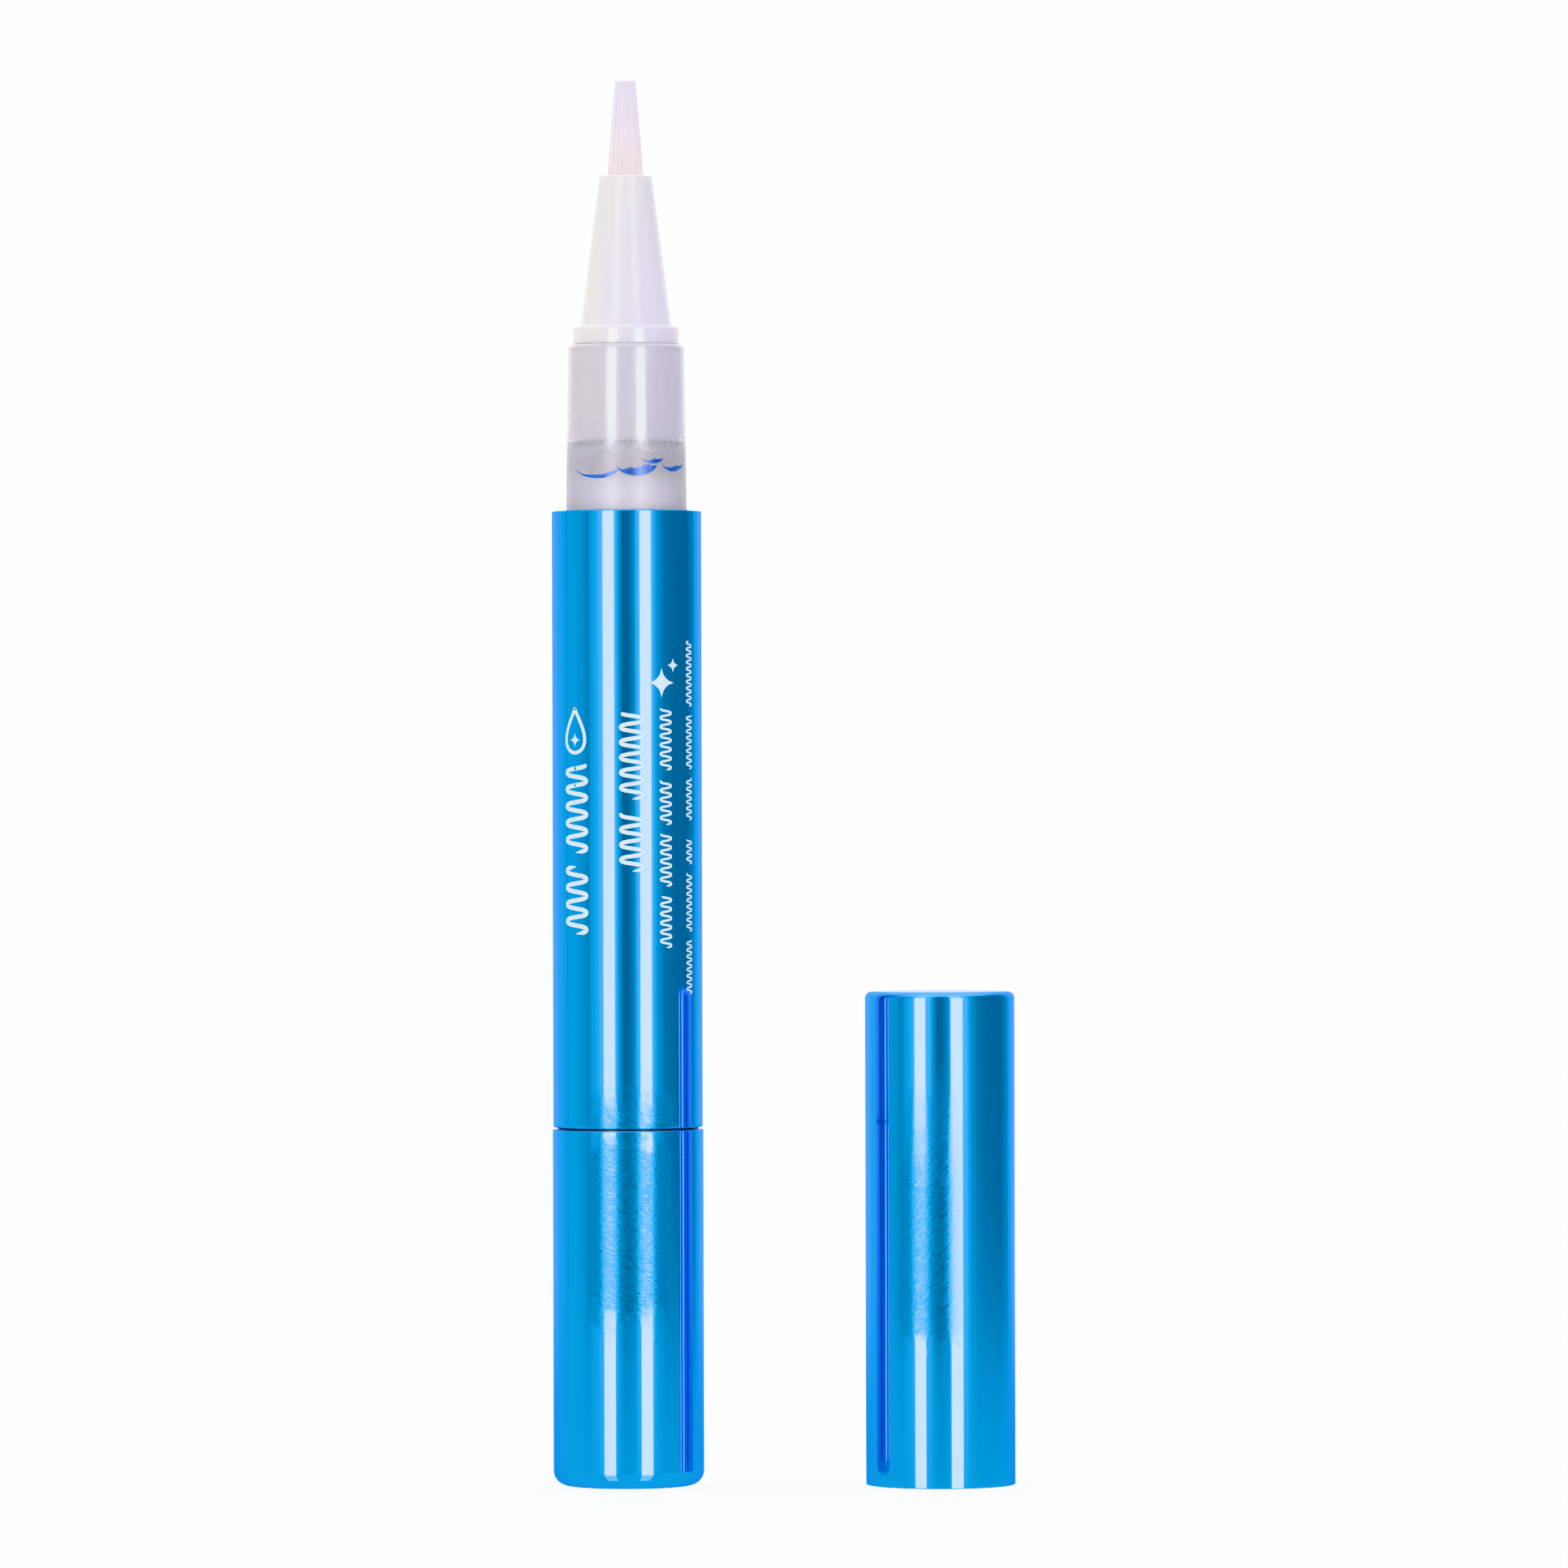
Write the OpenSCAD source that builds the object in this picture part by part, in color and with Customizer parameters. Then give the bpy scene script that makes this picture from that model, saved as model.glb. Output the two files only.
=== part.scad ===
// Twist-up liquid brush pen, standing on its flat end with the cap parked beside it.
// The origin is the centre of the flat end, +Z runs towards the brush and +X towards the cap.
// All sizes are in millimetres.

/* [Outside] */
// Outside diameter of the front shell and of the cap
shell_d = 13; // [10.5:0.1:18]
// Length of the front shell, from the seam to the neck
shell_len = 53.3; // [40:0.1:80]
// Length of the twist knob, from its flat end to the seam
knob_len = 30.85; // [24:0.05:45]
// How much wider the twist knob is than the front shell
knob_extra_d = 0.1; // [0:0.05:0.6]
// Open seam between the twist knob and the front shell
seam_gap = 0.15; // [0.1:0.01:0.4]
// Wall of the three metal shells
shell_wall = 0.4; // [0.25:0.05:0.6]
// Outer corner radius at the knob's flat end
knob_corner_r = 1.3; // [0.7:0.1:2]
// Outer corner radius at the cap's closed end
cap_corner_r = 0.6; // [0.45:0.05:1.5]
// Free space between the pen and its parked cap
cap_gap = 14; // [2:0.5:40]

/* [Barrel] */
// Length of the bare neck that the cap grips
neck_len = 14.4; // [10:0.1:20]
// How far the neck narrows on each side towards the nozzle
neck_draft = 0.21; // [0:0.01:0.4]
// Wall of the barrel at the top of the neck
barrel_wall = 0.76; // [0.5:0.01:1.2]
// Height of the support rings over the barrel's wall
ring_h = 0.83; // [0.5:0.01:1.5]
// Width of each support ring
ring_w = 1.3; // [0.8:0.1:3]
// Edge radius at the top of the neck
neck_edge_r = 0.4; // [0.1:0.05:0.6]
// Length of the spigot that turns inside the knob
spigot_len = 11; // [8:0.5:16]
// Section radius of the snap bead on the spigot
bead_r = 0.28; // [0.1:0.01:0.35]

/* [Nozzle and brush] */
// Height of the collar that rests on the neck
collar_len = 1.6; // [1:0.1:3]
// Inset of the collar from the neck, on each side
collar_step = 0.42; // [0.2:0.01:0.8]
// Inset of the cone from the collar, on each side
cone_step = 0.67; // [0.3:0.01:1]
// Height of the cone
cone_len = 13.05; // [8:0.05:20]
// Wall around the brush at the tip of the cone
tip_wall = 0.66; // [0.4:0.01:1]
// Length of the plug below the collar
plug_len = 8.4; // [6:0.1:10]
// Height of the sealing ribs on the plug
rib_h = 0.1; // [0.05:0.01:0.2]
// Diameter of the brush where it leaves the cone
brush_d = 3.23; // [2:0.01:4]
// Diameter of the brush at its tip
brush_tip_d = 1.83; // [1.2:0.01:2.5]
// Length of the brush outside the cone
brush_len = 8.25; // [5:0.05:14]
// Length of the sleeve that binds the roots of the brush
ferrule_len = 4; // [3:0.1:6]
// Wall of the sleeve that binds the roots
ferrule_wall = 0.5; // [0.3:0.05:0.8]
// Outside diameter of the feed tube
tube_d = 1.2; // [0.8:0.05:1.4]
// Bore of the feed tube
tube_bore_d = 0.6; // [0.3:0.05:0.7]

/* [Drive] */
// Advance of the screw in one turn of the knob
lead = 3; // [2:0.1:5]
// Depth of the screw's thread
thread_depth = 0.35; // [0.2:0.01:0.4]
// Length of the threaded nut
nut_len = 4.5; // [3:0.1:7]
// Length of screw that stays in the drive sleeve at full travel
key_len = 4; // [2:0.1:8]
// Wall of the drive sleeve
sleeve_wall = 0.9; // [0.6:0.05:1.2]
// Length of the piston
piston_len = 6; // [5:0.1:9]
// Section radius of the piston's sealing ring
seal_r = 0.62; // [0.4:0.01:0.7]
// Free length between the piston and the plug at full travel
end_room = 4.3; // [2:0.1:10]
// Length of air above the liquid
air_len = 1.1; // [0.5:0.1:2]
// Number of clicks in one turn
click_count = 12; // [8:1:16]
// Height of a ratchet tooth
tooth_h = 0.45; // [0.3:0.01:0.6]
// Wall behind the ratchet teeth
ratchet_wall = 0.4; // [0.3:0.05:0.6]
// Length of the ratchet ring
ratchet_len = 4; // [2:0.1:6]
// Thickness of the thrust washer at the seam
washer_t = 0.35; // [0.2:0.05:0.6]

/* [Cap] */
// Air between the tip of the brush and the cap's inner end
cap_room = 3.2; // [1:0.1:8]
// Wall of the inner sealing cup
cup_wall = 0.9; // [0.6:0.05:1.2]
// Thickness of the cup's closed end
cup_end = 1; // [0.6:0.1:2]
// Thickness of the cap sleeve's closed end
sleeve_end = 0.8; // [0.5:0.1:2]

/* [Clearances] */
// Radial clearance between pieces that turn or slide on each other
turn_clear = 0.06; // [0.03:0.01:0.1]
// Radial clearance between the screw and the pieces it runs in
screw_clear = 0.12; // [0.1:0.01:0.15]
// Radial clearance between the sealing ring and the bore
seal_clear = 0.02; // [0.01:0.01:0.05]
// Radial clearance around the liquid and the brush
fill_clear = 0.03; // [0.01:0.01:0.05]

/* [Hidden] */
$fn = 72;
eps = 0.01;

// Radii, from the outside in
shell_r = shell_d / 2;
shell_bore_r = shell_r - shell_wall;
knob_r = shell_r + knob_extra_d / 2;
knob_bore_r = knob_r - shell_wall;
barrel_r = shell_bore_r - ring_h;
neck_top_r = barrel_r - neck_draft;
bore_r = neck_top_r - barrel_wall;
collar_r = neck_top_r - collar_step;
cone_r = collar_r - cone_step;
brush_r = brush_d / 2;
brush_hole_r = brush_r + fill_clear;
tip_r = brush_hole_r + tip_wall;
ferrule_r = brush_hole_r + ferrule_wall;
root_r = bore_r - ratchet_wall;
crest_r = root_r - tooth_h;
leaf_t = 0.25;
leaf_gap = 0.1;
leaf_r = crest_r - leaf_gap;
hub_r = leaf_r - leaf_t - leaf_gap;
hub_wall = 0.2;
sleeve_r = hub_r - hub_wall;
sleeve_bore_r = sleeve_r - sleeve_wall;
screw_r = sleeve_bore_r - screw_clear;
screw_core_r = screw_r - thread_depth;
flat_inset = 0.2;
screw_flat = 2 * (screw_core_r - flat_inset);
flange_inset = 0.4;
flange_r = barrel_r - flange_inset;
flange_flat_inset = 1;
flange_flat = 2 * (flange_r - flange_flat_inset);
cup_inset = 0.37;
cup_r = barrel_r - cup_inset;

// Heights, from the flat end up
core_floor = 1.2;
core_z = shell_wall + core_floor;
seam_z = knob_len + seam_gap;
core_top_z = seam_z - turn_clear - washer_t;
spigot_z = seam_z - spigot_len;
shell_top_z = seam_z + shell_len;
neck_top_z = shell_top_z + neck_len;
plug_z = neck_top_z - plug_len;
cone_z = neck_top_z + collar_len;
cone_top_z = cone_z + cone_len;
brush_top_z = cone_top_z + brush_len;
flange_t = 1.6;
screw_gap = 0.4;
screw_z = core_z + screw_gap;
piston_gap = 0.5;
travel = (plug_z - end_room - screw_z - key_len - nut_len - piston_gap - piston_len) / 2;
nut_z = screw_z + travel + key_len;
nut_top_z = nut_z + nut_len;
piston_z = nut_top_z + piston_gap;
piston_top_z = piston_z + piston_len;
liquid_top_z = plug_z - air_len;
nut_seat = 0.8;
nut_seat_gap = 0.3;
sleeve_top_z = nut_z + nut_seat - nut_seat_gap;
ratchet_rise = 4;
ratchet_z = spigot_z + ratchet_rise;
ferrule_rise = 2;
ferrule_top_z = cone_z + ferrule_rise;
ferrule_z = ferrule_top_z - ferrule_len;
ferrule_floor = 0.8;
tube_drop = 0.6;
tube_rise = 3.6;
bead_rise = 2;

// The joint between the screw and the piston
head_len = 1.5;
head_play = 0.1;
throat_len = 1;

// The groove for the piston's sealing ring
seal_rise = 1;
seal_play = 0.3;
seal_z = piston_z + piston_len / 2 + seal_rise;

// The cap, measured up from its open rim
cap_x = shell_d + cap_gap;
rim_inset = 0.4;
cup_lift = 0.2;
neck_room = 0.3;
nozzle_len = collar_len + cone_len + brush_len;
cup_inner_end = neck_len + nozzle_len + cap_room;
cup_top = cup_inner_end + cup_end;
cap_len = cup_top + sleeve_end + shell_wall;

// A point at a radius and an angle
function polar(r, a) = [r * cos(a), r * sin(a)];

// A value held within a limit on both sides
function held(v, limit) = max(-limit, min(limit, v));

// Half section of a closed-ended round shell, its closed end at the bottom
module cup_half(r, h, corner) {
    square([r - corner, h]);
    translate([0, corner]) square([r, h - corner]);
    translate([r - corner, corner]) circle(corner);
}

// Thin shell with one closed, rounded end
module metal_cup(r, h, corner) {
    rotate_extrude() intersection() {
        difference() {
            cup_half(r, h, corner);
            translate([0, shell_wall]) cup_half(r - shell_wall, h, corner - shell_wall);
        }
        square([r, h]);
    }
}

// Plain tube between two heights
module tube(r_out, r_in, z0, z1) {
    translate([0, 0, z0]) difference() {
        cylinder(r = r_out, h = z1 - z0);
        translate([0, 0, -1]) cylinder(r = r_in, h = z1 - z0 + 2);
    }
}

// Round bar with two flats, between two heights
module flatted(r, flat, z0, z1) {
    intersection() {
        translate([0, 0, z0]) cylinder(r = r, h = z1 - z0);
        translate([-r, -flat / 2, z0]) cube([2 * r, flat, z1 - z0]);
    }
}

// Screw thread: rings of points whose radius swings once a turn and climbs with the lead
thread_sides = 12;
thread_steps = 12;
module thread(core_r, depth, z0, z1, flat) {
    rings = ceil((z1 - z0) / lead * thread_steps);
    points = [for (i = [0:rings], j = [0:thread_sides - 1])
        let (z = z0 + (z1 - z0) * i / rings,
            a = 360 * j / thread_sides,
            r = core_r + depth / 2 * (1 + cos(a - 360 * z / lead)))
        [r * cos(a), held(r * sin(a), flat / 2), z]];
    walls = [for (i = [0:rings - 1], j = [0:thread_sides - 1])
        let (k = (j + 1) % thread_sides, a = i * thread_sides, b = a + thread_sides)
        each [[a + j, b + j, b + k], [a + j, b + k, a + k]]];
    bottom = [for (j = [0:thread_sides - 1]) j];
    top = [for (j = [0:thread_sides - 1]) (rings + 1) * thread_sides - 1 - j];
    polyhedron(points, concat([bottom, top], walls));
}

// Cap

module cap_shell() {
    color("deepskyblue") translate([cap_x, 0, cap_len]) mirror([0, 0, 1])
        metal_cup(shell_r, cap_len, cap_corner_r);
}

module cap_sleeve() {
    corner = max(cap_corner_r - shell_wall, eps);
    grip_r = barrel_r + turn_clear;
    grip_top = neck_len + neck_room;
    lead_in = 0.3;
    color("whitesmoke") translate([cap_x, 0, 0]) rotate_extrude() difference() {
        translate([0, cap_len - shell_wall]) mirror([0, 1])
            cup_half(shell_bore_r, cap_len - shell_wall - rim_inset, corner);
        square([grip_r, grip_top]);
        polygon([[0, rim_inset], [grip_r + lead_in, rim_inset],
            [grip_r, rim_inset + lead_in], [0, rim_inset + lead_in]]);
        square([cup_r, cup_top]);
    }
}

module inner_cap() {
    lip_z = neck_len + collar_len + cup_lift;
    bore = cup_r - cup_wall;
    color("gainsboro") translate([cap_x, 0, 0]) rotate_extrude() difference() {
        translate([0, lip_z]) square([cup_r, cup_top - lip_z]);
        square([bore, cup_inner_end]);
    }
}

// Nozzle and brush

module brush_bristles() {
    bend_r = 0.25;
    start_z = ferrule_z + ferrule_floor;
    hole_top = cone_top_z + tube_rise;
    color("lavenderblush") rotate_extrude() difference() {
        polygon([[0, start_z], [brush_r, start_z], [brush_r, cone_top_z],
            [brush_tip_d / 2, brush_top_z - bend_r], [brush_tip_d / 2 - bend_r, brush_top_z],
            [0, brush_top_z]]);
        translate([0, start_z - 1]) square([tube_d / 2, hole_top - start_z + 1]);
    }
}

module brush_ferrule() {
    color("white") tube(ferrule_r, brush_r, ferrule_z + ferrule_floor, ferrule_top_z);
    color("white") tube(ferrule_r, tube_d / 2, ferrule_z, ferrule_z + ferrule_floor);
}

module feed_tube() {
    color("silver") tube(tube_d / 2, tube_bore_d / 2, ferrule_z - tube_drop, cone_top_z + tube_rise);
}

module nozzle() {
    plug_r = bore_r - rib_h;
    rib_w = 0.5;
    rib_rise = 0.35;
    rib_pitch = 2.6;
    edge_r = 0.25;
    tip_edge = 0.2;
    passage_step = 0.3;
    passage_r = ferrule_r - passage_step;
    color("white") rotate_extrude() difference() {
        union() {
            translate([0, plug_z]) square([plug_r, plug_len]);
            for (i = [0:2]) translate([0, plug_z + rib_rise + i * rib_pitch]) square([bore_r, rib_w]);
            translate([0, neck_top_z]) square([collar_r, collar_len - edge_r]);
            translate([0, neck_top_z]) square([collar_r - edge_r, collar_len]);
            translate([collar_r - edge_r, cone_z - edge_r]) circle(edge_r);
            polygon([[0, cone_z - eps], [cone_r, cone_z - eps], [cone_r, cone_z],
                [tip_r, cone_top_z - tip_edge], [tip_r - tip_edge, cone_top_z], [0, cone_top_z]]);
        }
        translate([0, plug_z - 1]) square([passage_r, plug_len + nozzle_len]);
        translate([0, ferrule_z]) square([ferrule_r, ferrule_len]);
        translate([0, ferrule_z]) square([brush_hole_r, nozzle_len + plug_len]);
    }
}

// Barrel and reservoir

module barrel() {
    mid_z = seam_z + (shell_len - ring_w) / 2;
    rings = [seam_z, mid_z, shell_top_z - ring_w];
    color("lightsteelblue") rotate_extrude() difference() {
        union() {
            translate([0, spigot_z]) square([barrel_r, shell_top_z - spigot_z]);
            for (z = rings) translate([0, z]) square([shell_bore_r, ring_w]);
            translate([barrel_r, spigot_z + bead_rise]) circle(bead_r);
            polygon([[0, shell_top_z - eps], [barrel_r, shell_top_z - eps], [barrel_r, shell_top_z],
                [neck_top_r, neck_top_z - neck_edge_r], [0, neck_top_z - neck_edge_r]]);
            translate([0, neck_top_z - 2 * neck_edge_r])
                square([neck_top_r - neck_edge_r, 2 * neck_edge_r]);
            translate([neck_top_r - neck_edge_r, neck_top_z - neck_edge_r]) circle(neck_edge_r);
        }
        translate([0, spigot_z - 1]) square([bore_r, neck_top_z - spigot_z + 2]);
    }
}

module barrel_shell() {
    color("dodgerblue") tube(shell_r, shell_bore_r, seam_z, shell_top_z);
}

module cleaning_liquid() {
    color("aliceblue") translate([0, 0, piston_top_z + fill_clear])
        cylinder(r = bore_r - fill_clear, h = liquid_top_z - piston_top_z - fill_clear);
}

// Piston and screw

module piston() {
    groove_h = 2 * seal_r + seal_play;
    groove_r = bore_r - seal_clear - 2 * seal_r;
    nose_h = 0.5;
    nose_inset = 0.6;
    body_r = bore_r - turn_clear;
    color("white") rotate_extrude() difference() {
        union() {
            translate([0, piston_z]) square([body_r, piston_len - nose_h]);
            polygon([[0, piston_top_z - nose_h - eps], [body_r, piston_top_z - nose_h - eps],
                [body_r, piston_top_z - nose_h], [body_r - nose_inset, piston_top_z],
                [0, piston_top_z]]);
        }
        translate([groove_r, seal_z - groove_h / 2]) square([seal_r * 4, groove_h]);
        translate([0, piston_z - 1]) square([screw_flat / 2 + head_play, throat_len + 1 + eps]);
        translate([0, piston_z + throat_len]) square([screw_r + head_play, head_len + 3 * head_play]);
    }
}

module piston_ring() {
    color("dimgray") rotate_extrude() translate([bore_r - seal_clear - seal_r, seal_z]) circle(seal_r);
}

module screw_rod() {
    thread_top_z = piston_z - piston_gap / 2;
    head_z = piston_z + throat_len + head_play;
    color("white") union() {
        thread(screw_core_r, thread_depth, screw_z, thread_top_z, screw_flat);
        translate([0, 0, thread_top_z - eps])
            cylinder(r = screw_flat / 2, h = head_z - thread_top_z + 2 * eps);
        translate([0, 0, head_z]) cylinder(r = screw_r, h = head_len);
    }
}

module screw_nut() {
    color("white") difference() {
        translate([0, 0, nut_z]) cylinder(r = bore_r, h = nut_len);
        translate([0, 0, nut_z - 1]) cylinder(r = sleeve_r + turn_clear, h = nut_seat + 1);
        thread(screw_core_r + screw_clear, thread_depth, nut_z - lead / 3, nut_top_z + lead / 3, bore_r);
    }
}

// Ratchet

module ratchet_ring() {
    tooth_a = 360 / click_count;
    teeth = [for (i = [0:click_count - 1])
        each [polar(crest_r, i * tooth_a), polar(root_r, i * tooth_a)]];
    color("white") translate([0, 0, ratchet_z]) linear_extrude(ratchet_len) difference() {
        circle(bore_r);
        polygon(teeth);
    }
}

// Flat pattern of one sprung finger, with its nose just past a tooth's steep face
module click_finger() {
    tooth_a = 360 / click_count;
    nose_from = tooth_a * 0.06;
    nose_to = tooth_a * 0.42;
    arm_to = 75;
    foot_to = 95;
    reach = 2 * bore_r;
    nose_r = root_r - leaf_gap;
    nose_end_r = (crest_r + root_r) / 2 - leaf_gap;
    difference() {
        intersection() {
            circle(leaf_r);
            polygon([[0, 0], polar(reach, nose_from), polar(reach, (nose_from + foot_to) / 2),
                polar(reach, foot_to)]);
        }
        difference() {
            circle(hub_r + leaf_gap);
            polygon([[0, 0], polar(reach, arm_to), polar(reach, foot_to)]);
        }
        circle(hub_r);
    }
    polygon([polar(leaf_r - leaf_t, nose_from), polar(nose_r, nose_from),
        polar(nose_end_r, nose_to), polar(leaf_r - leaf_t, nose_to)]);
}

module click_spring() {
    end_gap = 0.3;
    color("white") translate([0, 0, ratchet_z + end_gap])
        linear_extrude(ratchet_len - 2 * end_gap) union() {
            difference() {
                circle(hub_r);
                circle(sleeve_r);
            }
            for (a = [0, 180]) rotate(a) click_finger();
        }
}

module drive_sleeve() {
    color("white") difference() {
        union() {
            translate([0, 0, core_z]) cylinder(r = sleeve_r, h = sleeve_top_z - core_z);
            flatted(flange_r, flange_flat, core_z, core_z + flange_t);
        }
        flatted(sleeve_bore_r, screw_flat + 2 * screw_clear, core_z - 1, sleeve_top_z + 1);
    }
}

// Twist knob

module thrust_washer() {
    color("midnightblue") tube(shell_bore_r, barrel_r + turn_clear, core_top_z, core_top_z + washer_t);
}

module knob_core() {
    pocket_play = 0.2;
    pocket_h = flange_t + pocket_play;
    color("white") difference() {
        rotate_extrude() difference() {
            translate([0, shell_wall])
                cup_half(knob_bore_r, core_top_z - shell_wall, knob_corner_r - shell_wall);
            translate([0, core_z + pocket_h]) square([flange_r + turn_clear, knob_len]);
            translate([0, spigot_z - piston_gap]) square([barrel_r + turn_clear, knob_len]);
            translate([barrel_r, spigot_z + bead_rise]) circle(bead_r + turn_clear);
        }
        flatted(flange_r + eps, flange_flat + 2 * eps, core_z, core_z + pocket_h + 1);
    }
}

module knob_shell() {
    color("deepskyblue") metal_cup(knob_r, knob_len, knob_corner_r);
}

cap_shell();
cap_sleeve();
inner_cap();
brush_bristles();
brush_ferrule();
feed_tube();
nozzle();
barrel();
barrel_shell();
cleaning_liquid();
piston();
piston_ring();
screw_rod();
screw_nut();
ratchet_ring();
click_spring();
drive_sleeve();
thrust_washer();
knob_core();
knob_shell();
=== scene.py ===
import math
import random

import bmesh
import bpy
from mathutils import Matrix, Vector


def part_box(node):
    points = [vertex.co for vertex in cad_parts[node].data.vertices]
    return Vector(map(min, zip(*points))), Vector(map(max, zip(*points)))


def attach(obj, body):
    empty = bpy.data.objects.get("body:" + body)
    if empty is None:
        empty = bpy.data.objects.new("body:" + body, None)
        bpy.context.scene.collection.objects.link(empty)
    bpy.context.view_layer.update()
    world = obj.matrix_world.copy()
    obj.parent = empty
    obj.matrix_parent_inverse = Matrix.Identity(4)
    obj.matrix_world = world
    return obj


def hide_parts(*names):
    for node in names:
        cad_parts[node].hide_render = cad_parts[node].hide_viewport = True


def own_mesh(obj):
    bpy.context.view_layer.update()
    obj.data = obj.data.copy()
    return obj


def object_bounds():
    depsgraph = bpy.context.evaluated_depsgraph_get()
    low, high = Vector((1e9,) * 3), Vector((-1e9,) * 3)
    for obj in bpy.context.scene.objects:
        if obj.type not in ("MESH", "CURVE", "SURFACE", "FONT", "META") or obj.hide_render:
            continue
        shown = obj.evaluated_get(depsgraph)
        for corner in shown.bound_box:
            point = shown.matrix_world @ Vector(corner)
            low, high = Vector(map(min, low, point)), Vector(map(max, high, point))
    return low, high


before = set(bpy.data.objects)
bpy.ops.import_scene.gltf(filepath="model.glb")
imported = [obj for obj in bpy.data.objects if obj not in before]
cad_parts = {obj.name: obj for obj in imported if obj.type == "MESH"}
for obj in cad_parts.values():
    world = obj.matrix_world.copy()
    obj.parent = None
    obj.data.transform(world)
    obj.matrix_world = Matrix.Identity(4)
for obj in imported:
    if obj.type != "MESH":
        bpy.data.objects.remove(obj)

millimetre = 0.001
cadBox = [list(corner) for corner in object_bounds()]


def low(node):
    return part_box(node)[0]


def high(node):
    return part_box(node)[1]


def outerRadius(node):
    lowest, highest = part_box(node)
    return (highest.x - lowest.x) / 2


# Camera, square on to the front of the pen

cameraView = {
    "distance": 0.85,     # from the pen's plane, in metres
    "margin": 1.1165,     # frame height over the pen's height
    "roll": 0.15,         # in degrees
    "aside": 0.1 * millimetre,
    "lowered": 0.14 * millimetre,
}


def makeCamera():
    lowest, highest = (Vector(corner) for corner in cadBox)
    middle = (lowest + highest) / 2
    data = bpy.data.cameras.new("camera")
    data.sensor_width = 36
    data.lens = data.sensor_width * cameraView["distance"] / ((highest.z - lowest.z) * cameraView["margin"])
    data.clip_start = 0.01
    data.clip_end = 20
    camera = bpy.data.objects.new("camera", data)
    camera.location = (
        middle.x + cameraView["aside"], -cameraView["distance"], middle.z - cameraView["lowered"])
    camera.rotation_euler = (math.radians(90), math.radians(cameraView["roll"]), 0)
    bpy.context.scene.collection.objects.link(camera)
    bpy.context.scene.camera = camera


makeCamera()
print("camera made")


# Material helpers


def newMaterial(name, **sockets):
    material = bpy.data.materials.new(name)
    material.use_nodes = True
    shader = material.node_tree.nodes["Principled BSDF"]
    for socket, value in sockets.items():
        shader.inputs[socket].default_value = value
    return material, material.node_tree, shader


def addNode(tree, kind, links=None, **settings):
    node = tree.nodes.new("ShaderNode" + kind)
    for name, value in settings.items():
        setattr(node, name, value)
    for name, output in (links or {}).items():
        tree.links.new(output, node.inputs[name])
    return node


def objectPlace(tree, stretch=(1, 1, 1)):
    # Object coordinates in millimetres, stretched along each axis
    place = addNode(tree, "TexCoord")
    scaled = addNode(tree, "Mapping", {"Vector": place.outputs["Object"]})
    scaled.inputs["Scale"].default_value = [1000 * s for s in stretch]
    return scaled.outputs["Vector"]


def noiseAt(tree, place, scale, detail=2.0, roughness=0.5):
    node = addNode(tree, "TexNoise", {"Vector": place})
    node.inputs["Scale"].default_value = scale
    node.inputs["Detail"].default_value = detail
    node.inputs["Roughness"].default_value = roughness
    return node.outputs["Fac"]


def spread(tree, value, fromLow, fromHigh, toLow, toHigh):
    node = addNode(tree, "MapRange", {"Value": value})
    node.inputs["From Min"].default_value = fromLow
    node.inputs["From Max"].default_value = fromHigh
    node.inputs["To Min"].default_value = toLow
    node.inputs["To Max"].default_value = toHigh
    return node.outputs["Result"]


def combine(tree, operation, first, second):
    node = addNode(tree, "Math", operation=operation)
    for socket, value in zip(node.inputs, (first, second)):
        if isinstance(value, (int, float)):
            socket.default_value = value
        else:
            tree.links.new(value, socket)
    return node.outputs["Value"]


def bumpFrom(tree, height, distance, normal=None):
    node = addNode(tree, "Bump", {"Height": height})
    node.inputs["Distance"].default_value = distance
    node.inputs["Strength"].default_value = 1.0
    if normal is not None:
        tree.links.new(normal, node.inputs["Normal"])
    return node.outputs["Normal"]


def blendColours(tree, factor, first, second):
    node = addNode(tree, "Mix", {"Factor": factor}, data_type="RGBA")
    node.inputs[6].default_value = (*first, 1)
    node.inputs[7].default_value = (*second, 1)
    return node.outputs[2]


# Blue lacquered metal

blueMetal = {
    "deep": (0.0, 0.325, 0.75),
    "bright": (0.0, 0.37, 0.84),
    "edge": (0.12, 0.56, 1.0, 1),
    "gloss": 0.065,
    "wornGloss": 0.22,                    # roughness that rubbing adds
    "rubbedPaintedShade": 0.52,                    # painted shade: how much of its colour the rubbed lacquer keeps, darkened to dim the reflections there
    "drawn": 0.9,                         # how strongly reflections stretch along the drawn tube
    "speckle": 5.0,                       # speckles per millimetre
    "speckleGloss": (-0.02, 0.16),        # roughness between and on the speckles
    "hairSize": (0.9, 0.3, 0.1),          # of the scratches, in mm
    "hairGloss": (0.08, -0.14),           # roughness between and on the scratches
    "ragged": 1.4,                        # how far the rubbed zone's ends wander, in mm
    "turnsAway": 0.6,                     # how gently the zone ends towards the far side, in mm
    "freshPits": 0.03,                    # depth of the pits where nothing rubbed, of the pits' own
    "lineDepth": 0.0005 * millimetre,
    "pitDepth": 0.004 * millimetre,
    "scratchDepth": 0.0025 * millimetre,
}

# Where thumbs have rubbed each shell and where its colour is darkened there as painted shade, in mm: the
# heights where the zone fades in and out, its middle to the side of the shell's axis, its half width where
# it starts to fade and where it ends, and the scratches' lean
rubbedAndShadedZones = {
    "blueFront": {"rise": (28, 29), "fall": (31.5, 34.5), "middle": 0.3, "half": (2.2, 4), "lean": 20},
    "blueKnob": {"rise": (13.5, 16), "fall": (29, 30.5), "middle": 0, "half": (2.4, 3.8), "lean": 15},
    "blueCap": {"rise": (12, 14.5), "fall": (26, 36), "middle": -1.0, "half": (1.3, 3.2), "lean": -38},
}


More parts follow.
